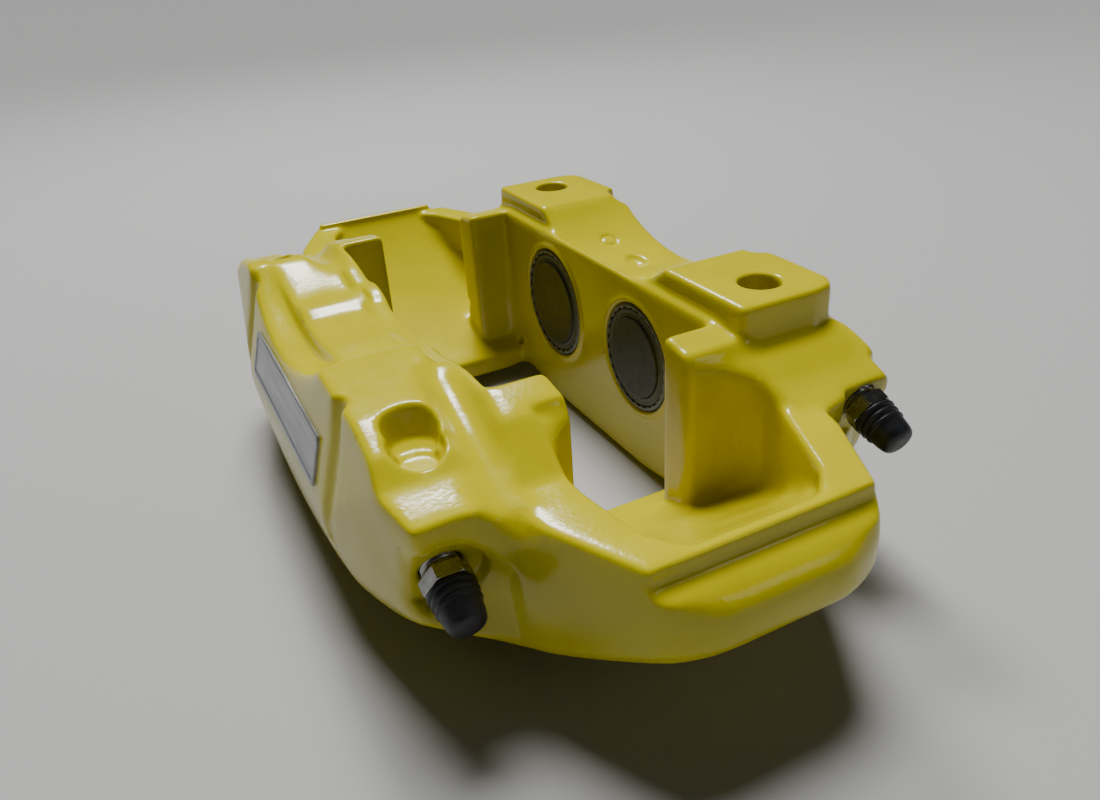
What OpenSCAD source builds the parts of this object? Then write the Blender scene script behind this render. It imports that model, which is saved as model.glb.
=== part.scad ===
// Fixed four-piston monobloc brake caliper with a radial (vertical bolt) mounting.
// Frame: origin midway between the two mounting bolts, on the seat faces of the lugs.
// +X runs along the disc's direction of travel towards the bleed screws,
// +Y runs along the disc's axle towards the mounting lugs, +Z points to the hub.

/* [Mounting lugs] */
// Distance between the two mounting bolts
bolt_spacing = 130; // [128:0.5:132]
// Diameter of the plain mounting bolt holes
bolt_hole_d = 12.2; // [10.2:0.1:13]
// Diameter of the bolt head recess under each lug
bolt_recess_d = 21; // [18:0.5:23]

/* [Pistons] */
// Diameter of the leading pistons, at the far end
piston_far_d = 36; // [34:0.5:37]
// Diameter of the trailing pistons, at the bleed screw end
piston_near_d = 32; // [30:0.5:33]
// Distance of each piston centre from the middle plane
piston_x = 29; // [28:0.25:30]
// Height of the piston centres below the lug faces
piston_z = -33.6; // [-34:0.1:-33.4]
// Radial running clearance of a piston in its bore
piston_clear = 0.03; // [0.02:0.01:0.08]

/* [Disc and pads] */
// Radius of the arc that clears the disc's rim
rim_clear_r = 192.7; // [191:0.1:194]
// Width of the gap between the abutment blocks
disc_gap = 35.8; // [34:0.1:37]
// Distance between the inner faces that carry the pistons
pad_gap = 66.8; // [65:0.1:68]
// Half distance between the pad abutment faces
abutment_x = 68; // [67:0.5:69]

/* [Bleed screws] */
// Tilt of the bleed screws away from the hub
bleed_tilt = 20; // [16:1:22]
// Width across the flats of a bleed screw's hexagon
bleed_hex = 11; // [10:0.5:12]

/* [Hidden] */
$fn = 72;

mid_y = -53.2;                      // middle plane of the disc
y_in = mid_y + pad_gap / 2;         // inboard face that carries the pistons
y_out = mid_y - pad_gap / 2;        // outboard face that carries the pistons
yb_in = mid_y + disc_gap / 2;       // inboard abutment block face
yb_out = mid_y - disc_gap / 2;      // outboard abutment block face
hub_z = 119;                        // height of the disc's axis above the lug faces
crown_r = 310;                      // radius of the outer crown
crown_z = 232;                      // height of that arc's centre
rest_z = -76.5;                     // flat foot in the middle of the crown
lug_x = bolt_spacing / 2;
valley_x = -14;                     // middle of the valley between the outboard housings
bolt_len = 48;                      // plain length of a bolt hole

ring_w = 2.4;                       // how far the boot seat is wider than the piston
boot_depth = 5.6;                   // depth of the boot seat
bore_depth = 25;                  // depth of a bore from the piston face
nose_in = 2.2;                      // how far the piston's nose is smaller than the piston
seal_y = 8.6;                       // depth of the seal groove's middle
seal_w = 3.2;
seal_h = 2.2;
piston_len = 22.4;
proud = 0.9;                        // how far a retracted piston stands out

bleed_in = [99, 8.5, -26.6];        // mouth of the inboard bleed screw's thread
bleed_out = [97.3, -113.6, -33.4];  // mouth of the outboard one

paint = "gold";
dark = "dimgray";

// ---------- helpers ----------
// A rod between two points.
module rod(a, b, r) {
  d = b - a;
  L = norm(d);
  translate(a) rotate([0, acos(d[2] / L), atan2(d[1], d[0])]) cylinder(h = L, r = r);
}

// Puts a child, drawn along +Z, on the axle line of a bore; s is +1 inboard, -1 outboard.
// Depth runs along +Z of the child, into the metal.
module at_bore(x, s) {
  translate([x, s > 0 ? y_in : y_out, piston_z]) rotate([s > 0 ? -90 : 90, 0, 0]) children();
}

// Puts a child, drawn along +Z, on a bleed screw's axis, which points out of the metal.
module at_bleed(p) {
  translate(p) rotate([0, 90 + bleed_tilt, 0]) children();
}

// Extrudes an outline in X and Z along Y between two planes.
module along_y(y0, y1) {
  translate([0, y1, 0]) rotate([90, 0, 0]) linear_extrude(height = y1 - y0) children();
}

// ---------- body ----------
// Plan outline; k widens the slanted corners, e is the end's half length.
module plan(e, k) {
  side = [[50, -140], [50, -131.5], [104, -121], [103.5, -111 - k], [105, -97 - k], [112, -95 - k], [137 + k, -83],
          [e, -70], [e, -36.4], [137 + k, -23.4], [112, -11.4 + k], [105, -9.4 + k], [103, 0], [94, 12], [90, 30]];
  polygon(concat(side, [for (i = [len(side) - 1 : -1 : 0]) [-side[i][0], side[i][1]]]));
}

// Section through the middle, in Y and Z: both sides lean out below the hub side edge.
module side_section() {
  polygon([[-121, 6], [-122.5, -10], [-124.5, -19], [-131, -41], [-131, -90],
           [21, -90], [21, -46], [20.4, -30], [18.7, -8], [18.7, 6]]);
}

// Radius about the disc's axle of the crown's rounded shoulders, against the distance from the middle plane.
shoulder = [[78, 172], [74.5, 186], [69, 192], [61, 196.5], [50, 203], [44, 207.5], [36, 210.5], [22, 216], [0, 219]];

// Draft of a slanted corner face, and the slope of the ledge round each end.
module corner_draft() {
  rotate([0, 0, 25.64]) translate([-7.4, 0, 0]) rotate([-7.18, 0, 0]) translate([0, -20, -75]) cube([45, 20, 90]);
}

module lower_plan() difference() {
  translate([0, 0, -95]) linear_extrude(height = 71) plan(145, 3);
  for (m = [0, 1]) mirror([m, 0, 0]) {
    along_y(-150, 40) polygon([[136.5, -24], [145, -30.5], [151, -35.1], [151, -10], [136.5, -10]]);
    translate([112, -95, -20]) corner_draft();
    translate([112, -11.4, -20]) mirror([0, 1, 0]) corner_draft();
  }
}

module envelope() {
  intersection() {
    union() {
      translate([0, 0, -25]) linear_extrude(height = 40) plan(137, 0);
      lower_plan();
    }
    translate([0, 60, crown_z]) rotate([90, 0, 0]) cylinder(h = 240, r = crown_r, $fn = 180);
    translate([0, mid_y, hub_z]) rotate([90, 0, 0]) rotate_extrude(angle = 360, $fn = 180)
      polygon(concat([[0, 78]], [for (p = shoulder) [p[1], p[0]]], [for (i = [7 : -1 : 0]) [shoulder[i][1], -shoulder[i][0]]], [[0, -78]]));
    translate([-150, 0, 0]) rotate([90, 0, 90]) linear_extrude(height = 300) side_section();
    translate([-150, -150, rest_z]) cube([300, 200, 100]);
  }
}

// Hub side profile of the outboard half and of the abutment blocks.
module top_a() {
  polygon([[-150, -95], [-150, -20], [-97, -20], [-82, -9.5], [-68, -7], [68, -7], [82, -9.5], [97, -20], [150, -20], [150, -95]]);
}

// Hub side profile of the outboard cylinder housings.
module top_b() {
  polygon([[-104.5, -60], [-104.5, -16.5], [-77, -13], [-57, -7], [47, -7], [77, -13], [104.5, -16.5], [104.5, -60]]);
}

// Hub side profile of the inboard half with its two lugs.
module top_c() {
  polygon([[-150, -95], [-150, -20], [-112, -20], [-103, -20.5], [-86, -13.5], [-81, -12], [-79.5, -6], [-79.5, 0], [79.5, 0], [79.5, -6], [81, -12], [86, -13.5], [103, -20.5], [112, -20], [150, -20], [150, -95]]);
}

// Plan of the pocket between an abutment block and the end wall.
module pocket_plan() {
  polygon([[80, -81], [105, -80], [124, -77], [133.5, -70.5], [133.5, -38], [125, -30], [112, -24.7], [98, -19], [90, -17.5], [80, -17.5]]);
}

module cavity() {
  intersection() {
    translate([0, 20, hub_z]) rotate([90, 0, 0]) cylinder(h = 160, r = rim_clear_r, $fn = 144);
    union() {
      // pads and pistons
      translate([-abutment_x, y_out, -90]) cube([2 * abutment_x, pad_gap, 120]);
      // disc
      translate([-133.5, yb_out, -90]) cube([267, disc_gap, 120]);
      // end pockets
      for (m = [0, 1]) mirror([m, 0, 0]) translate([0, 0, -90]) linear_extrude(height = 120) pocket_plan();
    }
  }
  // pad window, right through the crown
  translate([-59, y_out, -100]) cube([118, pad_gap, 70]);
}

module bore(x, s, r) {
  at_bore(x, s) {
    translate([0, 0, -1]) cylinder(h = bore_depth + 1, r = r + piston_clear);
    translate([0, 0, -1]) cylinder(h = boot_depth + 1, r = r + ring_w);
    translate([0, 0, seal_y - seal_w / 2]) cylinder(h = seal_w, r = r + seal_h);
  }
}

module bleed_port(p) {
  at_bleed(p) {
    cylinder(h = 40, r = 10);
    translate([0, 0, -15]) cylinder(h = 16, r = 5);
    translate([0, 0, -18.2]) cylinder(h = 3.3, r1 = 1.75, r2 = 5);
    translate([0, 0, -24]) cylinder(h = 8, r = 1.75);
  }
}

function bleed_pt(p, t) = [p[0] + t * cos(bleed_tilt), p[1], p[2] - t * sin(bleed_tilt)];

module passages() {
  for (s = [1, -1]) {
    pb = s > 0 ? bleed_in : bleed_out;
    yd = mid_y + s * (pad_gap / 2 + bore_depth - 4);
    ye = mid_y + s * 24;
    rod(bleed_pt(pb, -23), [piston_x + 8, yd, piston_z + 8], 1.75);
    rod([-piston_x, yd, piston_z], [piston_x, yd, piston_z], 1.75);
    rod([-piston_x - 8, yd, piston_z], [-130, ye, -37], 1.75);
  }
  // crossover drilling through the far end wall, open at both ends until it is plugged
  translate([-130, 20, -37]) rotate([90, 0, 0]) cylinder(h = 150, r = 1.75);
  for (s = [1, -1]) plug_seat(s);
  // brake line port in the back of the inboard half
  translate([0, 21.5, piston_z]) rotate([90, 0, 0]) {
    cylinder(h = 14, r = 4.5);
    cylinder(h = 2, r = 8);
    cylinder(h = 19, r = 1.75);
  }
}

// Ends of the crossover drilling, where the slanted corner faces are spot faced.
plug_in_y = mid_y + 33.5;
plug_out_y = mid_y - 33.5;
module plug_seat(s) {
  translate([-130, s > 0 ? plug_in_y : plug_out_y, -37]) rotate([s > 0 ? -90 : 90, 0, 0]) {
    cylinder(h = 30, r = 6);
    translate([0, 0, -7]) cylinder(h = 8, r = 4);
  }
}

module bleed_boss(p) {
  at_bleed(p) translate([0, 0, -17]) cylinder(h = 18, r = 10.2);
}

module caliper_body() color(paint) difference() {
  union() {
    difference() {
      intersection() {
        envelope();
        union() {
          along_y(-140, -17) top_a();
          along_y(-140, -93) top_b();
          along_y(-17.01, 30) top_c();
        }
      }
      // valley between the outboard housings, deeper towards the outside
      translate([0, -75, -13.9 + 220]) rotate([90, 0, 0]) cylinder(h = 18, r = 220, $fn = 180);
      translate([valley_x, -93, -14.7 + 145]) rotate([90, 0, 0]) cylinder(h = 60, r = 145, $fn = 144);
      translate([valley_x, -114.5, -20 + 95]) rotate([90, 0, 0]) cylinder(h = 40, r = 95, $fn = 144);
      // valley between the lugs
      translate([0, 30, -14.5 + 64]) rotate([90, 0, 0]) cylinder(h = 47, r = 64, $fn = 144);
      cavity();
      // cast recesses in the housings
      for (m = [-1, 1]) translate([m * 79, -110, -16.5]) rotate([4, 0, 0]) cylinder(h = 20, r = 6.4);
      // trimmed outer corners of the lugs
      for (m = [0, 1]) mirror([m, 0, 0]) translate([0, 0, -12]) linear_extrude(height = 20)
        polygon([[73.6, 18.3], [78, 15], [79.6, 8], [95, 8], [95, 30], [60, 30], [60, 18.6]]);
    }
    intersection() {
      bleed_boss(bleed_in);
      along_y(-17, 30) top_c();
    }
    bleed_boss(bleed_out);
    // raised strip on the far end's rim
    translate([-136.8, -81, -22]) cube([3.2, 51, 4.2]);
  }
  // mounting bolt holes
  for (m = [-1, 1]) translate([m * lug_x, 0, 0]) {
    translate([0, 0, -bolt_len]) cylinder(h = 60, r = bolt_hole_d / 2);
    translate([0, 0, -100]) cylinder(h = 100 - bolt_len, r = bolt_recess_d / 2);
  }
  bore(-piston_x, 1, piston_far_d / 2);
  bore(piston_x, 1, piston_near_d / 2);
  bore(-piston_x, -1, piston_far_d / 2);
  bore(piston_x, -1, piston_near_d / 2);
  bleed_port(bleed_in);
  bleed_port(bleed_out);
  passages();
}

// ---------- pistons and what seals them ----------
module piston(x, s, d) color(dark) at_bore(x, s) rotate_extrude(angle = 360) polygon([
  [0, -proud], [d / 2 - nose_in - 0.6, -proud], [d / 2 - nose_in, -proud + 0.6], [d / 2 - nose_in, 0.5],
  [d / 2 - nose_in - 0.8, 0.5], [d / 2 - nose_in - 0.8, 1.5], [d / 2 - nose_in, 1.5], [d / 2 - nose_in, boot_depth - 0.4], [d / 2, boot_depth - 0.4],
  [d / 2, piston_len - 0.8], [d / 2 - 0.8, piston_len], [d / 2 - 4, piston_len], [d / 2 - 4, 6.5], [0, 6.5]]);

module fluid_seal(x, s, d) color("black") at_bore(x, s) rotate_extrude(angle = 360)
  translate([d / 2 + 0.05, seal_y - seal_w / 2]) square([seal_h - 0.05, seal_w]);

// Boot: an outer bead in its seat, a folded sleeve, and a lip in the groove of the piston's nose.
module dust_boot(x, s, d) color("black") at_bore(x, s) rotate_extrude(angle = 360) polygon([
  [d / 2 - nose_in - 0.75, 0.55], [d / 2 - nose_in - 0.75, 1.45], [d / 2 - nose_in + 0.05, 1.45], [d / 2 - nose_in + 0.05, 1.6], [d / 2 + 0.3, 1.6], [d / 2 + 0.3, boot_depth], [d / 2 + ring_w, boot_depth], [d / 2 + ring_w, 1.5],
  [d / 2 + ring_w - 0.01, 1.5], [d / 2 + 0.6, 1.5], [d / 2 + 0.6, 0.3], [d / 2 - nose_in + 0.05, 0.3], [d / 2 - nose_in + 0.05, 0.55]]);

// Press-in ring with small notches round its inner edge.
module boot_ring(x, s, d) color("gray") at_bore(x, s) difference() {
  rotate_extrude(angle = 360) polygon([[d / 2 + 0.65, -0.35], [d / 2 + ring_w - 0.5, -0.35], [d / 2 + ring_w, 0.15], [d / 2 + ring_w, 1.5], [d / 2 + 0.65, 1.5]]);
  for (i = [0 : 27]) rotate([0, 0, i * 360 / 28]) translate([d / 2 + 0.2, -0.35, -1]) cube([1.0, 0.7, 3]);
}

// ---------- bleed screws and caps ----------
module bleed_screw(p) color("silver") at_bleed(p) difference() {
  union() {
    translate([0, 0, -14.9]) cylinder(h = 16.4, r = 4.95);
    translate([0, 0, -18]) cylinder(h = 3.1, r1 = 1.9, r2 = 4.95);
    translate([0, 0, 1.4]) cylinder(h = 3.8, r = bleed_hex / 2 / cos(30), $fn = 6);
    translate([0, 0, 5]) cylinder(h = 6, r = 3.1);
    translate([0, 0, 9.2]) cylinder(h = 2.2, r = 3.9);
    translate([0, 0, 11.3]) cylinder(h = 2.7, r1 = 3.9, r2 = 2.5);
  }
  translate([0, 0, -12]) cylinder(h = 40, r = 1.4);
  translate([0, 0, -12]) rotate([90, 0, 0]) cylinder(h = 14, r = 1.1, center = true);
}

// Rubber cap: ribbed mouth, tapered body, rounded end, hollow to take the nipple.
module bleed_cap(p) color("black") at_bleed(p) rotate_extrude(angle = 360) polygon(concat(
  [[4, 5.4], [5.9, 5.4], [6.1, 5.7], [6.1, 6.6], [5.5, 6.9], [5.5, 7.5], [5.9, 7.8], [5.9, 8.6], [5.35, 8.9], [5.35, 9.5], [5.7, 9.8], [5.7, 10.4], [5.3, 10.8]],
  [[4.9, 13.4]], [for (a = [0 : 15 : 75]) [2.5 + 2.4 * cos(a), 13.7 + 2.7 * sin(a)]], [[0, 16.5], [0, 14.7], [2.6, 14.5], [4, 11.9]]));

// ---------- small parts ----------
module plug(s) translate([-130, s > 0 ? plug_in_y : plug_out_y, -37]) rotate([s > 0 ? -90 : 90, 0, 0]) difference() {
  union() {
    translate([0, 0, -6.9]) cylinder(h = 6.9, r = 3.98);
    cylinder(h = 0.8, r = 5.2);
  }
  translate([0, 0, -2.6]) cylinder(h = 4, r = 2.3, $fn = 6);
}

module crossover_plugs() color("silver") { plug(1); plug(-1); }

label_tilt = atan2(22, 6.5);
// Plain name panel on the outboard face, with a raised border and no lettering.
module label_plate() color("silver") translate([0, -127.75, -30]) rotate([label_tilt, 0, 0]) difference() {
  translate([-42, -7.6, 0]) cube([84, 15.2, 0.9]);
  translate([-40.4, -6, 0.5]) cube([80.8, 12, 1]);
}

caliper_body();
piston(-piston_x, 1, piston_far_d);  // piston_inboard_far
piston(piston_x, 1, piston_near_d);  // piston_inboard_near
piston(-piston_x, -1, piston_far_d);  // piston_outboard_far
piston(piston_x, -1, piston_near_d);  // piston_outboard_near
fluid_seal(-piston_x, 1, piston_far_d);  // fluid_seal_inboard_far
fluid_seal(piston_x, 1, piston_near_d);  // fluid_seal_inboard_near
fluid_seal(-piston_x, -1, piston_far_d);  // fluid_seal_outboard_far
fluid_seal(piston_x, -1, piston_near_d);  // fluid_seal_outboard_near
dust_boot(-piston_x, 1, piston_far_d);  // dust_boot_inboard_far
dust_boot(piston_x, 1, piston_near_d);  // dust_boot_inboard_near
dust_boot(-piston_x, -1, piston_far_d);  // dust_boot_outboard_far
dust_boot(piston_x, -1, piston_near_d);  // dust_boot_outboard_near
boot_ring(-piston_x, 1, piston_far_d);  // boot_ring_inboard_far
boot_ring(piston_x, 1, piston_near_d);  // boot_ring_inboard_near
boot_ring(-piston_x, -1, piston_far_d);  // boot_ring_outboard_far
boot_ring(piston_x, -1, piston_near_d);  // boot_ring_outboard_near
bleed_screw(bleed_in);  // bleed_screw_inboard
bleed_screw(bleed_out);  // bleed_screw_outboard
bleed_cap(bleed_in);  // bleed_cap_inboard
bleed_cap(bleed_out);  // bleed_cap_outboard
crossover_plugs();
label_plate();
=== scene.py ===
"""Looks of the fixed four-piston brake caliper: painted casting, pistons, boots, bleed screws and caps."""
import math
import bpy
import numpy as np
import openvdb
from mathutils import Matrix, Vector


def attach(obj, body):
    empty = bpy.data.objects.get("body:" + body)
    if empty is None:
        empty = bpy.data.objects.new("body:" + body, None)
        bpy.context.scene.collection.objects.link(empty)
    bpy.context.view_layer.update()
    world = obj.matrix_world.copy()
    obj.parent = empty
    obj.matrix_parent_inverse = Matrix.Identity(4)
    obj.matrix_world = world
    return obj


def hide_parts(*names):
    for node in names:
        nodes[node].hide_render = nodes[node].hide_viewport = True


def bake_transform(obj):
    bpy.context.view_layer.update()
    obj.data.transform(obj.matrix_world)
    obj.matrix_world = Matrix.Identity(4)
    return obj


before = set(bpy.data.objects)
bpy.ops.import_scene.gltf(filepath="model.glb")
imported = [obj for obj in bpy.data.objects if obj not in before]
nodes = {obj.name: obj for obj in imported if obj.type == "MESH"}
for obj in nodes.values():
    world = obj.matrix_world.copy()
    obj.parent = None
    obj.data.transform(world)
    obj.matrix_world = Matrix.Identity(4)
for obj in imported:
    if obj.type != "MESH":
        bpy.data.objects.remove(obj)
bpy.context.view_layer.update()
MM = 0.001

# ------------------------------------------------------------------ shared sizes, in millimetres
Y_IN, Y_OUT, MID_Y = -19.8, -86.6, -53.2
PZ = -33.6
RING_W, BOOT_DEPTH, NOSE = 2.4, 5.6, 2.2
HUB_Z = 119.0
TILT = math.radians(20)
BA = np.array([math.cos(TILT), 0.0, -math.sin(TILT)])
BLEED = {"inboard": np.array([99.0, 8.5, -26.6]), "outboard": np.array([97.3, -113.6, -33.4])}
BORES = {"inboard_far": (-29.0, 1, 18.0), "inboard_near": (29.0, 1, 16.0),
         "outboard_far": (-29.0, -1, 18.0), "outboard_near": (29.0, -1, 16.0)}


# ------------------------------------------------------------------ distance field of the casting
VS = 0.55
LO = np.array([-151.0, -138.0, -82.0])
HI = np.array([151.0, 27.0, 7.0])
I0 = np.round(LO / VS).astype(int)
N = np.round((HI - LO) / VS).astype(int) + 1
GX, GY, GZ = [((I0[a] + np.arange(N[a])) * VS).astype(np.float32) for a in range(3)]


def mesh_arrays(o):
    me = o.data
    me.calc_loop_triangles()
    v = np.empty(len(me.vertices) * 3, np.float32)
    me.vertices.foreach_get("co", v)
    t = np.empty(len(me.loop_triangles) * 3, np.int32)
    me.loop_triangles.foreach_get("vertices", t)
    return np.ascontiguousarray(v.reshape(-1, 3) * 1000), np.ascontiguousarray(t.reshape(-1, 3).astype(np.uint32))


def field_of(o, half_mm):
    v, t = mesh_arrays(o)
    g = openvdb.FloatGrid.createLevelSetFromPolygons(
        points=v, triangles=t, transform=openvdb.createLinearTransform(voxelSize=VS), halfWidth=float(half_mm / VS))
    out = np.empty(tuple(N), np.float32)
    g.copyToArray(out, ijk=tuple(int(i) for i in I0))
    return out


F = field_of(nodes["caliper_body"], 8.0)


def smin(a, b, k):
    h = np.clip(0.5 + 0.5 * (b - a) / k, 0, 1)
    return b + (a - b) * h - k * h * (1 - h)


def smax(a, b, k):
    return -smin(-a, -b, k)


def window(x0, x1, y0, y1, z0, z1):
    """Slices of the field, and its coordinates there, for a box in millimetres."""
    s = []
    for g, a, b in ((GX, x0, x1), (GY, y0, y1), (GZ, z0, z1)):
        i = int(np.searchsorted(g, a))
        j = int(np.searchsorted(g, b))
        s.append(slice(max(i - 1, 0), min(j + 1, len(g))))
    return tuple(s), GX[s[0]][:, None, None], GY[s[1]][None, :, None], GZ[s[2]][None, None, :]


def add(s, d, k=0.01):
    F[s] = smin(F[s], d, k)


def cut(s, d, k=0.01):
    F[s] = smax(F[s], -d, k)


def blur(a, sigma_mm):
    """Gaussian smoothing along the three axes."""
    sg = sigma_mm / VS
    r = max(1, int(math.ceil(2.6 * sg)))
    w = np.exp(-0.5 * (np.arange(-r, r + 1) / sg) ** 2)
    w = (w / w.sum()).astype(np.float32)
    for ax in range(3):
        b = np.moveaxis(a, ax, 0)
        n = b.shape[0]
        out = b * w[r]
        for k in range(1, r + 1):
            out[k:] += w[r] * 0 + w[r + k] * b[:n - k]
            out[:k] += w[r + k] * b[:1]
            out[:n - k] += w[r - k] * b[k:]
            out[n - k:] += w[r - k] * b[-1:]
        a = np.moveaxis(out, 0, ax)
    return np.ascontiguousarray(a)


def soft(v, a, b):
    """0 below a, 1 above b, smooth between."""
    t = np.clip((v - a) / (b - a), 0, 1)
    return t * t * (3 - 2 * t)


def tube(x, y, z, p, a):
    """Distance from the line through p along unit vector a, and how far along it."""
    dx, dy, dz = x - p[0], y - p[1], z - p[2]
    t = dx * a[0] + dy * a[1] + dz * a[2]
    return np.sqrt(np.maximum(dx * dx + dy * dy + dz * dz - t * t, 0)), t


# 1. close what is machined, so that smoothing the casting leaves it alone
for bx, s, r in BORES.values():
    y0 = Y_IN if s > 0 else Y_OUT
    w, x, y, z = window(bx - 26, bx + 26, *(sorted((y0 - s * 1, y0 + s * 29))), PZ - 26, PZ + 26)
    rho = np.sqrt((x - bx) ** 2 + (z - PZ) ** 2)
    d = (y - y0) * s
    add(w, np.maximum(np.maximum(rho - (r + 2.9), -d), d - 27))
for m in (-1, 1):
    w, x, y, z = window(m * 65 - 12, m * 65 + 12, -12, 12, -60, 2)
    rho = np.sqrt((x - m * 65) ** 2 + y ** 2)
    add(w, np.maximum(np.maximum(rho - 7.2, z), -50 - z))
for p in BLEED.values():
    w, x, y, z = window(66, 110, p[1] - 14, p[1] + 14, p[2] - 16, p[2] + 24)
    rho, t = tube(x, y, z, p, BA)
    add(w, np.maximum(np.maximum(rho - 6.2, t), -20 - t))
w, x, y, z = window(-12, 12, 4, 24, PZ - 12, PZ + 12)
rho = np.sqrt(x ** 2 + (z - PZ) ** 2)
add(w, np.maximum(np.maximum(rho - 6.2, y - 19.5), 4 - y))

# 2. cast shapes that run into each other
# groove between the outboard housings and the inner rail
for m in (-1, 1):
    w, x, y, z = window(*sorted((m * 30, m * 118)), -116, -84, -34, 4)
    ax = np.abs(x)
    yc = -93.9 - 0.085 * np.clip(ax - 50, 0, 60)
    zb = np.interp(ax.ravel(), [30, 44, 52, 60, 77, 90, 104, 120], [-8, -8.8, -10.0, -10.8, -13.8, -17.2, -20.6, -21.0]).astype(np.float32)[:, None, None]
    R = 6.0
    d = np.sqrt((y - yc) ** 2 + (z - (zb + R)) ** 2) - R
    cut(w, d + 6 * (1 - soft(ax, 34, 52)), 3.0)
# the abutment blocks run into the pockets' side walls with a large fillet
for m in (-1, 1):
    for side in (1, -1):
        y_w = -17.5 if side > 0 else -81.0
        w, x, y, z = window(*sorted((m * 78, m * 118)), *sorted((y_w + side * 4, y_w - side * 24)), -62, -4)
        ax = np.abs(x)
        face = ax - 82.0
        wall = (y_w - y) * side
        fil = smin(face, wall, 17.0)
        top = np.interp(ax.ravel(), [78, 83, 89, 97, 112, 120], [-8.5, -12.6, -15.0, -18.0, -25, -28]).astype(np.float32)[:, None, None] if side > 0 else \
            np.interp(ax.ravel(), [78, 84, 92, 104, 120], [-10.5, -13, -18, -24, -28]).astype(np.float32)[:, None, None]
        rim = 192.7 - np.sqrt(x ** 2 + (z - HUB_Z) ** 2)
        block = (-35.3 - y) if side > 0 else (y + 71.1)
        d = np.maximum(smax(fil, z - top, 3.0), -rim - 6)
        add(w, np.maximum(smax(d, block, 1.5), ax - 117), 1.5)

# 3. round the casting: softly everywhere, more on the outer shoulders
G1 = blur(F, 1.05)
G2 = blur(F, 2.7)
x, y, z = GX[:, None, None], GY[None, :, None], GZ[None, None, :]
big = np.maximum(soft(-y, 92, 100) * soft(-z, 15, 26), soft(-z, 34, 48) * soft(np.abs(y - MID_Y), 24, 36))
big = np.maximum(big, soft(np.abs(x), 96, 108) * soft(-z, 24.5, 30))
valley = soft(-y, 93, 98) * (1 - soft(np.abs(x + 14), 44, 52)) + soft(y, -16, -12) * (1 - soft(np.abs(x), 36, 42)) * soft(-z, -1, 3)
big = np.clip(np.maximum(big, 0.35 * valley), 0, 1)
F = G1 + (G2 - G1) * big
del G1, G2, big, valley

# 4. smaller cast details
# soft crease between each end's rim and the ledge outside it
for m in (-1, 1):
    w, x, y, z = window(*sorted((m * 100, m * 150)), -112, 6, -40, -16)
    ax = np.abs(x)
    pts = [(137.9, -80.5), (138.3, -70), (138.3, -36.4), (137.9, -25.5)]
    dd = np.full((x.shape[0], y.shape[1], 1), 1e3, np.float32)
    for a, b in zip(pts[:-1], pts[1:]):
        ux, uy = b[0] - a[0], b[1] - a[1]
        t = np.clip(((ax - a[0]) * ux + (y - a[1]) * uy) / (ux * ux + uy * uy), 0, 1)
        dd = np.minimum(dd, np.sqrt((ax - a[0] - t * ux) ** 2 + (y - a[1] - t * uy) ** 2))
    d = np.sqrt(dd ** 2 + (z + 23.4) ** 2) - 1.3
    cut(w, d, 4.2)
# raised machined strip on the far end's lip
w, x, y, z = window(-146, -128, -80, -28, -26, -14)
e = np.maximum(np.maximum(np.abs(y + 55.5) - 25.5, np.abs(x + 135.2) - 1.6), z + 17.8)
add(w, e, 0.4)
# raised rims round the boots' seats
for bx, s, r in BORES.values():
    y0 = Y_IN if s > 0 else Y_OUT
    w, x, y, z = window(bx - 30, bx + 30, *sorted((y0 - s * 3, y0 + s * 4)), PZ - 30, PZ + 30)
    rho = np.sqrt((x - bx) ** 2 + (z - PZ) ** 2)
    d = (y - y0) * s
    R0 = r + RING_W + 1.3
    add(w, np.sqrt((rho - R0) ** 2 + (np.maximum(0.25 - d, 0) * 1.0 + np.minimum(0.25 - d, 0) * 0.2) ** 2) - 0.95, 0.9)
# cast recesses on the housings: a deep round end that runs out into a shallower one
for m in (-1, 1):
    w, x, y, z = window(m * 79 - 20, m * 79 + 20, -124, -96, -24, 2)
    ax = np.abs(x)
    r1 = np.sqrt((ax - 73.2) ** 2 + (y + 109.2) ** 2)
    r2_ = np.sqrt((ax - 80.6) ** 2 + (y + 110.7) ** 2)
    d1 = np.maximum(r1 - 5.6 - 0.25 * (z + 15.0), -15.4 - z)
    d2 = np.maximum(r2_ - 5.2 - 0.25 * (z + 15.6), -16.1 - z)
    top = np.interp(ax.ravel(), [57, 77, 104.5], [-7.0, -13.0, -16.5]).astype(np.float32)[:, None, None] - 0.5
    rho = np.sqrt((ax - 79) ** 2 + (y + 110) ** 2)
    add(w, np.maximum(np.maximum(rho - 8.2, z - top), -20 - z), 0.8)
    cut(w, smin(d1, d2, 1.2), 0.9)
# vertical hollows at both ends of the label panel
for m, xc in ((-1, -57.0), (1, 55.0)):
    w, x, y, z = window(xc - 9, xc + 9, -136, -114, -58, -4)
    yw = -124.5 - (-19 - z) * 6.5 / 22 * soft(-z, 5, 20) - 0.8
    yw = np.clip(-124.5 + (z + 19) * 6.5 / 22, -131, -121.4)
    d = np.sqrt((x - xc) ** 2 + (y - (yw - 2.6)) ** 2) - 4.2
    cut(w, np.maximum(d, -46 - z), 1.6)
# marks left by the casting: a plain oval dimple and a small ring in the lugs' valley
w, x, y, z = window(-40, 16, -14, 16, -24, -4)
zf = 49.5 - np.sqrt(np.maximum(64.0 ** 2 - x ** 2, 1))
cut(w, np.sqrt(((x + 4) / 5.6) ** 2 + ((y - 2) / 3.1) ** 2 + ((z - zf) / 1.9) ** 2) * 1.9 - 1.9, 0.4)
q = np.sqrt((x + 21) ** 2 + (y - 0.5) ** 2)
cut(w, np.sqrt((q - 2.7) ** 2 + (z - zf) ** 2) - 0.75, 0.4)
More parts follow.
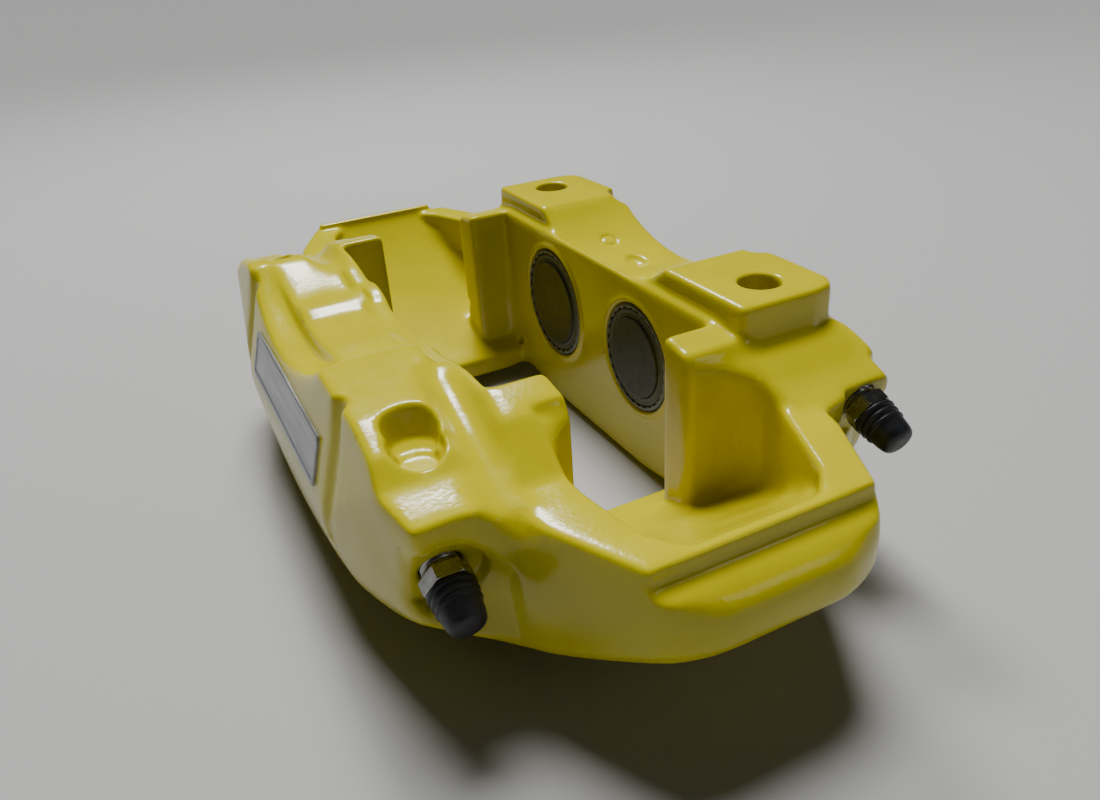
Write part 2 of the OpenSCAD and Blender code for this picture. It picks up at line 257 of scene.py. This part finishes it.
# reliefs at the inner back corners of the lugs
for m in (-1, 1):
    w, x, y, z = window(m * 44 - 12, m * 44 + 12, 4, 24, -14, 4)
    ax = np.abs(x)
    d = np.sqrt((ax - 42.0) ** 2 + (y - 19.0) ** 2) - 5.2
    cut(w, np.maximum(d, -6.5 - z), 1.2)
# two casting pits in the inboard wall
for px, py, pz, pr in ((-80.0, -35.3, -47.0, 1.5), (-62.0, -19.8, -62.0, 1.6), (-57.0, -19.8, -60.5, 1.1)):
    w, x, y, z = window(px - 5, px + 5, py - 5, py + 5, pz - 5, pz + 5)
    cut(w, np.sqrt((x - px) ** 2 + (y - py) ** 2 + (z - pz) ** 2) - pr, 0.8)

# 5. machined cuts, crisp again
for bx, s, r in BORES.values():
    y0 = Y_IN if s > 0 else Y_OUT
    w, x, y, z = window(bx - 24, bx + 24, *(sorted((y0 - s * 3, y0 + s * 28))), PZ - 24, PZ + 24)
    rho = np.sqrt((x - bx) ** 2 + (z - PZ) ** 2)
    d = (y - y0) * s
    cut(w, np.maximum(rho - (r + RING_W + 0.06), d - BOOT_DEPTH), 0.35)
    cut(w, np.maximum(rho - (r + 0.25), d - 25), 0.2)
for m in (-1, 1):
    w, x, y, z = window(m * 65 - 14, m * 65 + 14, -14, 14, -82, 6)
    rho = np.sqrt((x - m * 65) ** 2 + y ** 2)
    cut(w, rho - 6.12, 0.3)
    cut(w, (rho - 6.9 - z) * 0.7071, 0.3)
    cut(w, np.maximum(rho - 10.5, z + 48), 0.6)
for p in BLEED.values():
    w, x, y, z = window(72, 124, p[1] - 13, p[1] + 13, p[2] - 30, p[2] + 14)
    rho, t = tube(x, y, z, p, BA)
    cut(w, np.maximum(rho - 10.0, -t), 0.7)
    cut(w, np.maximum(rho - 5.02, -16 - t), 0.3)
    cut(w, np.maximum(rho - 6.2 + (0 - t) * 1.0, -1.4 - t), 0.25)
w, x, y, z = window(-12, 12, 4, 26, PZ - 12, PZ + 12)
rho = np.sqrt(x ** 2 + (z - PZ) ** 2)
cut(w, np.maximum(rho - 8.0, 19.5 - y), 0.5)
cut(w, np.maximum(rho - 4.5, 7.5 - y), 0.3)
for s in (1, -1):
    yp = MID_Y + 33.5 * s
    w, x, y, z = window(-138, -122, *sorted((yp - s * 8, yp + s * 12)), -45, -29)
    rho = np.sqrt((x + 130) ** 2 + (z + 37) ** 2)
    cut(w, np.maximum(rho - 6.0, (yp - y) * s), 0.5)
    cut(w, np.maximum(rho - 4.0, (yp - 7 * s - y) * s), 0.2)
# lug seats stay flat
w, x, y, z = window(-84, 84, -22, 24, -4, 6)
F[w] = np.maximum(F[w], z + 0 * x + 0 * y)
F = blur(F, 0.38)
# the flat foot on the crown
w, x, y, z = window(-60, 60, -140, 27, -82, -72)
F[w] = smax(F[w], -76.5 - z, 1.0)

grid = openvdb.FloatGrid(3.0)
grid.transform = openvdb.createLinearTransform(voxelSize=VS)
grid.gridClass = openvdb.GridClass.LEVEL_SET
grid.copyFromArray(np.clip(F, -3.0, 3.0), ijk=tuple(int(i) for i in I0))
pts, tris, quads = grid.convertToPolygons(isovalue=0.0, adaptivity=0.02)
print("casting", len(pts), "points", len(tris), "triangles", len(quads), "quads")


def make_mesh(name, verts, faces, smooth=True, sharp=None):
    me = bpy.data.meshes.new(name)
    me.from_pydata(verts, [], faces)
    me.update()
    if smooth:
        me.polygons.foreach_set("use_smooth", np.ones(len(me.polygons), bool))
        if sharp is not None:
            me.set_sharp_from_angle(angle=math.radians(sharp))
    o = bpy.data.objects.new(name, me)
    bpy.context.scene.collection.objects.link(o)
    return o


def big_mesh(name, pts, tris, quads):
    """A mesh straight from arrays."""
    me = bpy.data.meshes.new(name)
    nt, nq = len(tris), len(quads)
    me.vertices.add(len(pts))
    me.vertices.foreach_set("co", (pts * MM).astype(np.float32).ravel())
    me.loops.add(nt * 3 + nq * 4)
    me.polygons.add(nt + nq)
    # the level set's faces wind the other way round
    me.loops.foreach_set("vertex_index", np.concatenate([tris[:, ::-1].ravel(), quads[:, ::-1].ravel()]).astype(np.int32))
    me.polygons.foreach_set("loop_start", np.concatenate([np.arange(nt) * 3, nt * 3 + np.arange(nq) * 4]).astype(np.int32))
    me.polygons.foreach_set("use_smooth", np.ones(nt + nq, bool))
    me.update(calc_edges=True)
    me.validate()
    o = bpy.data.objects.new(name, me)
    bpy.context.scene.collection.objects.link(o)
    return o


body = big_mesh("painted_casting", pts, tris, quads)
del F


# ------------------------------------------------------------------ turned and moulded pieces
def rounded(pts, closed):
    """A profile of (r, z, fillet) with its corners rounded."""
    out = []
    n = len(pts)
    for i, (r, z, f) in enumerate(pts):
        p = Vector((r, z))
        if f <= 0 or (not closed and i in (0, n - 1)):
            out.append((r, z))
            continue
        a = Vector(pts[i - 1][:2]) - p
        b = Vector(pts[(i + 1) % n][:2]) - p
        fa, fb = min(f, a.length * 0.48), min(f, b.length * 0.48)
        pa, pb = p + a.normalized() * fa, p + b.normalized() * fb
        for k in range(5):
            t = k / 4
            q = pa * (1 - t) ** 2 + p * 2 * t * (1 - t) + pb * t * t
            out.append((max(q.x, 0.0), q.y))
    return out


def turned(name, pts, place, seg=128, closed=False, mod=None, sharp=None):
    """A turned solid: (r, z) points round the local Z axis; place maps local millimetres to the row frame's metres."""
    verts, rings = [], []
    th = np.linspace(0, 2 * math.pi, seg, endpoint=False)
    for r, z in pts:
        if r < 1e-6:
            rings.append([len(verts)])
            verts.append((0.0, 0.0, z))
            continue
        rr = np.full(seg, r)
        if mod is not None:
            rr = mod(r, z, th)
        i = len(verts)
        verts += [(a * math.cos(t), a * math.sin(t), z) for a, t in zip(rr, th)]
        rings.append(list(range(i, i + seg)))
    faces = []
    pairs = list(zip(rings[:-1], rings[1:])) + ([(rings[-1], rings[0])] if closed else [])
    for A, B in pairs:
        if len(A) == 1 and len(B) == 1:
            continue
        for k in range(seg):
            k2 = (k + 1) % seg
            if len(A) == 1:
                faces.append((A[0], B[k], B[k2]))
            elif len(B) == 1:
                faces.append((A[k], B[0], A[k2]))
            else:
                faces.append((A[k], B[k], B[k2], A[k2]))
    vs = [tuple(place @ Vector(v)) for v in verts]
    o = make_mesh(name, vs, faces, sharp=sharp)
    fix_normals(o)
    return o


def fix_normals(o):
    """Turns the faces outwards by the sign of the enclosed volume."""
    me = o.data
    me.calc_loop_triangles()
    co = np.array([v.co for v in me.vertices])
    t = np.array([l.vertices for l in me.loop_triangles])
    vol = np.einsum("ij,ij->i", co[t[:, 0]], np.cross(co[t[:, 1]], co[t[:, 2]])).sum()
    if vol < 0:
        me.flip_normals()


def joined(name, objs):
    for o in bpy.context.selected_objects:
        o.select_set(False)
    for o in objs:
        o.select_set(True)
    bpy.context.view_layer.objects.active = objs[0]
    bpy.ops.object.join()
    objs[0].name = name
    objs[0].data.name = name
    return objs[0]


def bore_place(bx, s):
    """Local +Z runs into the metal."""
    y0 = Y_IN if s > 0 else Y_OUT
    rot = Matrix.Rotation(math.radians(-90 if s > 0 else 90), 4, "X")
    return Matrix.Scale(MM, 4) @ Matrix.Translation((bx, y0, PZ)) @ rot


def bleed_place(p):
    return Matrix.Scale(MM, 4) @ Matrix.Translation(Vector(p)) @ Matrix.Rotation(math.radians(110), 4, "Y")


pieces = {}
for key, (bx, s, r) in BORES.items():
    pl = bore_place(bx, s)
    rn = r - NOSE
    # piston: flat face with a faint turned centre, rounded edge, groove for the boot's lip, hollow back
    p = turned("piston_%s_turned" % key, rounded([
        (0, -0.9, 0), (rn * 0.55, -0.9, 0.2), (rn * 0.57, -0.86, 0.2), (rn - 1.0, -0.9, 0.3), (rn, -0.9, 0.9), (rn, 0.5, 0.15), (rn - 0.8, 0.5, 0.1), (rn - 0.8, 1.5, 0.1),
        (rn, 1.5, 0.15), (rn, BOOT_DEPTH - 0.4, 0.1), (r, BOOT_DEPTH - 0.4, 0.3), (r, 22.4, 0.8), (r - 4, 22.4, 0.8), (r - 4, 6.5, 1.6), (0, 6.5, 0)], False), pl, seg=144, sharp=38)
    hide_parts("piston_" + key)
    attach(p, "piston_" + key)
    pieces["piston_" + key] = p
    # boot: bead in its seat, a pleated sleeve, a rolled front and a lip on the piston's nose
    dots = 28

    def pitted(rr, zz, th, r=r):
        a = np.full(len(th), rr)
        return a
    sleeve_out = [(r + 0.62 + 0.12 * math.cos(i * math.pi), 4.1 - i * 0.5, 0.15) for i in range(0, 6)]
    sleeve_in = [(r + 0.26 + 0.10 * math.cos(i * math.pi), 1.75 + i * 0.5, 0.15) for i in range(0, 6)]
    prof = [(r + 2.36, 4.35, 0.3), (r + 2.36, 5.55, 0.2), (r + 0.2, 5.55, 0.2), (r + 0.2, 4.5, 0.1)] + sleeve_in[::-1] + \
           [(r + 0.1, 1.3, 0.2), (r - 0.9, 1.15, 0.3), (rn - 0.02, 1.4, 0.1), (rn - 0.76, 1.42, 0.1), (rn - 0.76, 0.58, 0.1),
            (rn + 0.02, 0.5, 0.1), (rn + 0.02, -0.25, 0.25), (rn + 0.55, -0.3, 0.3), (rn + 0.95, -0.02, 0.3), (r - 0.7, 0.0, 0.3), (r - 0.35, -0.12, 0.3), (r + 0.35, -0.1, 0.3), (r + 0.62, 0.3, 0.3), (r + 0.62, 1.5, 0.2)] + sleeve_out[::-1]
    b = turned("dust_boot_%s_moulded" % key, rounded(prof, True), pl, seg=168, closed=True, sharp=70)
    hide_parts("dust_boot_" + key)
    y0 = Y_IN if s > 0 else Y_OUT
    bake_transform(b)
    pieces["dust_boot_" + key] = b
    # ring: pressed steel, with a notch every few degrees and a rolled outer edge
    seg = 28 * 12
    inner, outer = r + 0.66, r + RING_W - 0.02

    def notched(rr, zz, th, inner=inner):
        a = np.full(len(th), rr)
        if rr < inner + 0.25:
            ph = (th * 28 / (2 * math.pi)) % 1.0
            a = a + 0.95 * np.clip((0.20 - np.abs(ph - 0.5)) / 0.05, 0, 1)
        return a
    g = turned("boot_ring_%s_pressed" % key, rounded([
        (inner, 1.45, 0), (inner, 0.2, 0), (inner + 0.04, -0.12, 0), (inner + 0.16, -0.28, 0), (inner + 0.75, -0.35, 0.15), (outer - 0.6, -0.35, 0.3), (outer, 0.15, 0.2), (outer, 1.45, 0.1)], True), pl,
        seg=seg, closed=True, mod=notched, sharp=50)
    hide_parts("boot_ring_" + key)
    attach(g, "caliper")
    pieces["boot_ring_" + key] = g

HEX = 5.5


def hex_r(th):
    return HEX / np.cos((th + math.pi / 6) % (math.pi / 3) - math.pi / 6)


for side, p0 in BLEED.items():
    pl = bleed_place(p0)
    # threaded shank with its cone tip
    zs = np.arange(-14.9, 0.81, 0.0625)  # one step is a sixteenth of the thread's pitch

    def thread(rr, zz, th):
        ph = (zz / 1.0 - th / (2 * math.pi)) % 1.0
        tri = np.abs(ph * 2 - 1)
        fade = float(np.clip((zz + 14.9) / 1.2, 0, 1) * np.clip((0.6 - zz) / 1.2, 0, 1))
        return 4.93 - fade * 0.55 * (1 - tri)
    shank = turned("shank", [(0, -18.0), (1.9, -18.0)] + [(4.8, float(zz)) for zz in zs] + [(0, 0.85)], pl, seg=72, mod=lambda rr, zz, th: thread(rr, zz, th) if rr > 4 else np.full(len(th), rr), sharp=60)

    # hexagon with both its ends chamfered, made as the lesser of the hexagon and two cones
    def hexed(rr, zz, th):
        cone = min(6.05 + (zz - 1.4) * 1.7, 5.75 + (5.2 - zz) * 1.7)
        return np.minimum(hex_r(th), cone) if rr > 4.9 else np.full(len(th), rr)
    hz = [1.4] + [1.4 + 0.06 * k for k in range(1, 7)] + [1.9 + 0.5 * k for k in range(0, 5)] + [4.6 + 0.08 * k for k in range(0, 8)]
    head = turned("head", [(0, 1.38), (4.6, 1.38)] + [(5.5, zz) for zz in hz] + [(4.2, 5.22), (0, 5.22)], pl, seg=240, mod=hexed, sharp=24)
    collar = turned("collar", rounded([(0, 0.7, 0), (4.4, 0.7, 0.1), (4.4, 1.5, 0.1), (0, 1.5, 0)], False), pl, seg=96, sharp=40)
    nip = turned("nipple", rounded([(1.4, 4.0, 0), (1.4, 14.0, 0), (2.5, 14.0, 0.2), (3.9, 11.35, 0.5), (3.9, 9.4, 0.6), (3.1, 9.0, 0.5), (3.1, 5.3, 0.3), (3.6, 5.1, 0), (3.6, 4.0, 0)], True), pl, seg=96, closed=True, sharp=45)
    sc = joined("bleed_screw_%s_turned" % side, [shank, head, collar, nip])
    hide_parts("bleed_screw_" + side)
    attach(sc, "bleed_screw_" + side)
    pieces["bleed_screw_" + side] = sc
    # cap: two ribs at the mouth, a plain tapered end with a rounded tip
    cp = turned("bleed_cap_%s_moulded" % side, rounded([
        (4.0, 5.42, 0.12), (5.75, 5.42, 0.3), (6.1, 5.8, 0.3), (6.1, 6.6, 0.25), (5.45, 6.95, 0.2), (5.45, 7.5, 0.2), (5.92, 7.85, 0.25), (5.92, 8.55, 0.25), (5.32, 8.95, 0.2), (5.32, 9.5, 0.2),
        (5.72, 9.85, 0.2), (5.72, 10.4, 0.25), (5.25, 10.85, 0.3), (4.92, 14.0, 0.9), (4.35, 15.75, 1.2), (2.6, 16.45, 0.8), (0, 16.48, 0)], False) +
        [(0, 14.7), (2.6, 14.5), (4.0, 11.9)], pl, seg=128, closed=True, sharp=60)
    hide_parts("bleed_cap_" + side)
    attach(cp, "bleed_cap_" + side)
    pieces["bleed_cap_" + side] = cp

# screwed plugs of the crossover drilling, each with a hexagonal socket
plugs = []
for s in (1, -1):
    rot = Matrix.Rotation(math.radians(-90 if s > 0 else 90), 4, "X")
    pl = Matrix.Scale(MM, 4) @ Matrix.Translation((-130, MID_Y + 33.5 * s, -37)) @ rot

    def socket(rr, zz, th):
        return np.minimum(2.0 / np.cos((th + math.pi / 6) % (math.pi / 3) - math.pi / 6), 2.3 + max(0, (zz - 0.45)) * 1.0) if 2.25 < rr < 2.35 else np.full(len(th), rr)
    plugs.append(turned("plug", [(0, -6.9), (3.4, -6.9), (3.96, -6.3), (3.96, -0.02), (5.2, 0.0), (5.2, 0.45), (4.9, 0.8), (2.6, 0.8), (2.3, 0.5), (2.3, 0.1), (2.3, -2.5), (0, -2.6)], pl, seg=144, mod=socket, sharp=35))
pg = joined("crossover_plugs_turned", plugs)
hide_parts("crossover_plugs")
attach(pg, "caliper")
pieces["crossover_plugs"] = pg


# label: thin plate with rounded corners and a raised plain border
def rounded_rect(w, h, r, n=8):
    out = []
    for cx, cy, a0 in ((w - r, h - r, 0), (-w + r, h - r, 90), (-w + r, -h + r, 180), (w - r, -h + r, 270)):
        for k in range(n + 1):
            a = math.radians(a0 + 90 * k / n)
            out.append((cx + r * math.cos(a), cy + r * math.sin(a)))
    return out


lt = math.atan2(22, 6.5)
lpl = Matrix.Scale(MM, 4) @ Matrix.Translation((0, -127.75, -30)) @ Matrix.Rotation(lt, 4, "X")
loops = []
for w_, h_, r_, zz in ((42.0, 7.6, 1.6, -0.25), (42.0, 7.6, 1.6, 0.62), (41.85, 7.45, 1.5, 0.8), (41.55, 7.15, 1.3, 0.88), (40.9, 6.5, 0.9, 0.88), (40.6, 6.2, 0.8, 0.8), (40.45, 6.05, 0.7, 0.55)):
    loops.append([tuple(lpl @ Vector((a, b, zz))) for a, b in rounded_rect(w_, h_, r_)])
vs = [v for l in loops for v in l]
m_ = len(loops[0])
fs = [(j * m_ + k, j * m_ + (k + 1) % m_, (j + 1) * m_ + (k + 1) % m_, (j + 1) * m_ + k) for j in range(len(loops) - 1) for k in range(m_)]
fs.append(tuple(range(m_))[::-1])
fs.append(tuple(range((len(loops) - 1) * m_, len(loops) * m_)))
label = make_mesh("label_panel", vs, fs, sharp=35)
fix_normals(label)
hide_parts("label_plate")
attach(label, "caliper")
pieces["label_plate"] = label

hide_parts("caliper_body")
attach(body, "caliper")


# ------------------------------------------------------------------ materials
def material(name, color, color2, scale, rough, rough2, metal=0.0, bumps=(), coat=0.0, coat_rough=0.05, ior=1.5, spec=0.5, stretch=(1, 1, 1)):
    m = bpy.data.materials.new(name)
    m.use_nodes = True
    t = m.node_tree
    n, l = t.nodes, t.links
    n.clear()
    out = n.new("ShaderNodeOutputMaterial")
    bs = n.new("ShaderNodeBsdfPrincipled")
    l.new(bs.outputs[0], out.inputs[0])
    bs.inputs["Metallic"].default_value = metal
    bs.inputs["IOR"].default_value = ior
    bs.inputs["Specular IOR Level"].default_value = spec
    bs.inputs["Coat Weight"].default_value = coat
    bs.inputs["Coat Roughness"].default_value = coat_rough
    co = n.new("ShaderNodeTexCoord")
    mp = n.new("ShaderNodeMapping")
    mp.inputs["Scale"].default_value = stretch
    l.new(co.outputs["Object"], mp.inputs["Vector"])
    no = n.new("ShaderNodeTexNoise")
    no.inputs["Scale"].default_value = scale
    no.inputs["Detail"].default_value = 5
    no.inputs["Roughness"].default_value = 0.6
    l.new(mp.outputs["Vector"], no.inputs["Vector"])
    cr = n.new("ShaderNodeValToRGB")
    cr.color_ramp.elements[0].position = 0.35
    cr.color_ramp.elements[0].color = (*color2, 1)
    cr.color_ramp.elements[1].position = 0.65
    cr.color_ramp.elements[1].color = (*color, 1)
    l.new(no.outputs["Fac"], cr.inputs["Fac"])
    l.new(cr.outputs["Color"], bs.inputs["Base Color"])
    mr = n.new("ShaderNodeMapRange")
    mr.inputs["From Min"].default_value = 0.3
    mr.inputs["From Max"].default_value = 0.7
    mr.inputs["To Min"].default_value = rough
    mr.inputs["To Max"].default_value = rough2
    n2 = n.new("ShaderNodeTexNoise")
    n2.inputs["Scale"].default_value = scale * 3.1
    n2.inputs["Detail"].default_value = 3
    l.new(mp.outputs["Vector"], n2.inputs["Vector"])
    l.new(n2.outputs["Fac"], mr.inputs["Value"])
    l.new(mr.outputs["Result"], bs.inputs["Roughness"])
    prev = None
    for kind, sc, strength, dist in bumps:
        if kind == "noise":
            b = n.new("ShaderNodeTexNoise")
            b.inputs["Scale"].default_value = sc
            b.inputs["Detail"].default_value = 2
        else:
            b = n.new("ShaderNodeTexVoronoi")
            b.inputs["Scale"].default_value = sc
        l.new(mp.outputs["Vector"], b.inputs["Vector"])
        bp = n.new("ShaderNodeBump")
        bp.inputs["Strength"].default_value = strength
        bp.inputs["Distance"].default_value = dist
        l.new(b.outputs[0], bp.inputs["Height"])
        if prev is not None:
            l.new(prev.outputs["Normal"], bp.inputs["Normal"])
        prev = bp
    if prev is not None:
        l.new(prev.outputs["Normal"], bs.inputs["Normal"])
        if coat > 0:
            l.new(prev.outputs["Normal"], bs.inputs["Coat Normal"])
    return m


paint = material("gloss_yellow_paint", (0.60, 0.52, 0.0), (0.555, 0.478, 0.0), 45, 0.17, 0.23, bumps=(("noise", 60, 0.08, 0.0006), ("noise", 700, 0.24, 0.00025)), coat=0.1, coat_rough=0.05, spec=0.42)
piston_m = material("dark_anodised", (0.045, 0.046, 0.036), (0.032, 0.033, 0.027), 260, 0.42, 0.55, metal=0.35, bumps=(("noise", 1800, 0.15, 0.00008),))
boot_m = material("boot_rubber", (0.075, 0.078, 0.083), (0.055, 0.057, 0.061), 300, 0.45, 0.58, bumps=(("noise", 1500, 0.2, 0.0001),))
ring_m = material("phosphated_ring", (0.15, 0.153, 0.158), (0.11, 0.113, 0.117), 400, 0.34, 0.46, metal=0.25, bumps=(("noise", 1600, 0.15, 0.00008),))
seal_m = material("seal_rubber", (0.02, 0.02, 0.02), (0.012, 0.012, 0.012), 300, 0.4, 0.5, bumps=(("noise", 1200, 0.15, 0.0001),))
steel_m = material("plated_steel", (0.42, 0.42, 0.41), (0.30, 0.29, 0.28), 220, 0.22, 0.36, metal=1.0, bumps=(("noise", 900, 0.12, 0.00008),))
cap_m = material("cap_rubber", (0.014, 0.015, 0.017), (0.009, 0.009, 0.010), 260, 0.36, 0.5, bumps=(("noise", 1400, 0.22, 0.00012),))
label_m = material("brushed_label", (0.42, 0.43, 0.44), (0.30, 0.31, 0.32), 300, 0.3, 0.42, metal=0.8, bumps=(("noise", 500, 0.10, 0.00006),), stretch=(0.08, 1, 1))


def paint_on(o, m):
    o.data.materials.clear()
    o.data.materials.append(m)


paint_on(body, paint)
for k, o in pieces.items():
    for start, m in (("piston", piston_m), ("dust_boot", boot_m), ("boot_ring", ring_m), ("bleed_screw", steel_m), ("bleed_cap", cap_m), ("crossover", steel_m), ("label", label_m)):
        if k.startswith(start):
            paint_on(o, m)
for k, o in nodes.items():
    for start, m in (("caliper_body", paint), ("piston", piston_m), ("fluid_seal", seal_m), ("dust_boot", boot_m), ("boot_ring", ring_m), ("bleed_screw", steel_m), ("bleed_cap", cap_m), ("crossover", steel_m), ("label", label_m)):
        if k.startswith(start):
            paint_on(o, m)

# ------------------------------------------------------------------ floor, light, camera
floor_me = bpy.data.meshes.new("floor")
floor_me.from_pydata([(-40, -40, -0.0765), (40, -40, -0.0765), (40, 40, -0.0765), (-40, 40, -0.0765)], [], [(0, 1, 2, 3)])
floor = bpy.data.objects.new("floor", floor_me)
bpy.context.scene.collection.objects.link(floor)
fm = bpy.data.materials.new("pale_floor")
fm.use_nodes = True
fb = fm.node_tree.nodes["Principled BSDF"]
fb.inputs["Base Color"].default_value = (0.42, 0.418, 0.412, 1)
fb.inputs["Roughness"].default_value = 0.85
paint_on(floor, fm)

world = bpy.data.worlds.new("studio")
bpy.context.scene.world = world
world.use_nodes = True
bg = world.node_tree.nodes["Background"]
bg.inputs["Color"].default_value = (1.0, 0.99, 0.97, 1)
bg.inputs["Strength"].default_value = 1.0
# a dim room with a pale band just above the floor's far edge
wt = world.node_tree
wc = wt.nodes.new("ShaderNodeTexCoord")
wsep = wt.nodes.new("ShaderNodeSeparateXYZ")
wr = wt.nodes.new("ShaderNodeValToRGB")
wt.links.new(wc.outputs["Generated"], wsep.inputs["Vector"])
wt.links.new(wsep.outputs["Z"], wr.inputs["Fac"])
wt.links.new(wr.outputs["Color"], bg.inputs["Color"])
wr.color_ramp.elements[0].position = 0.03
wr.color_ramp.elements[0].color = (0.56, 0.555, 0.545, 1)
wr.color_ramp.elements[1].position = 0.09
wr.color_ramp.elements[1].color = (0.035, 0.035, 0.034, 1)


def area(name, loc, target, size, size_y, power):
    la = bpy.data.lights.new(name, "AREA")
    la.shape = "RECTANGLE"
    la.size, la.size_y, la.energy = size, size_y, power
    o = bpy.data.objects.new(name, la)
    bpy.context.scene.collection.objects.link(o)
    o.location = loc
    d = (Vector(target) - Vector(loc)).normalized()
    o.rotation_euler = d.to_track_quat("-Z", "Y").to_euler()
    return o


sun = bpy.data.lights.new("overhead", "SUN")
sun.energy = 3.5
sun.angle = math.radians(24)
so = bpy.data.objects.new("overhead", sun)
bpy.context.scene.collection.objects.link(so)
so.rotation_euler = Vector((0.30, -0.10, -0.93)).to_track_quat("-Z", "Y").to_euler()
so.visible_glossy = False
area("softbox", (-0.68, 0.10, 0.76), (0.05, -0.10, -0.01), 0.26, 0.17, 6.5)
area("side", (0.9, 0.5, 0.55), (0, -0.05, -0.02), 0.25, 0.3, 0.35)

cam = bpy.data.cameras.new("camera")
cam.sensor_width = 36
cam.lens = 876.32 / 1100 * 36
cam.clip_start = 0.01
co = bpy.data.objects.new("camera", cam)
bpy.context.scene.collection.objects.link(co)
a, e, roll = math.radians(64.808), math.radians(28.476), math.radians(-4.039)
back = Vector((math.sin(a) * math.cos(e), -math.cos(a) * math.cos(e), math.sin(e)))
right = Vector((math.cos(a), math.sin(a), 0))
up = back.cross(right)
r2 = right * math.cos(roll) + up * math.sin(roll)
u2 = up * math.cos(roll) - right * math.sin(roll)
mt = Matrix((r2, u2, back)).transposed().to_4x4()
mt.translation = (0.25031, -0.15573, 0.09285)
co.matrix_world = mt
bpy.context.scene.camera = co
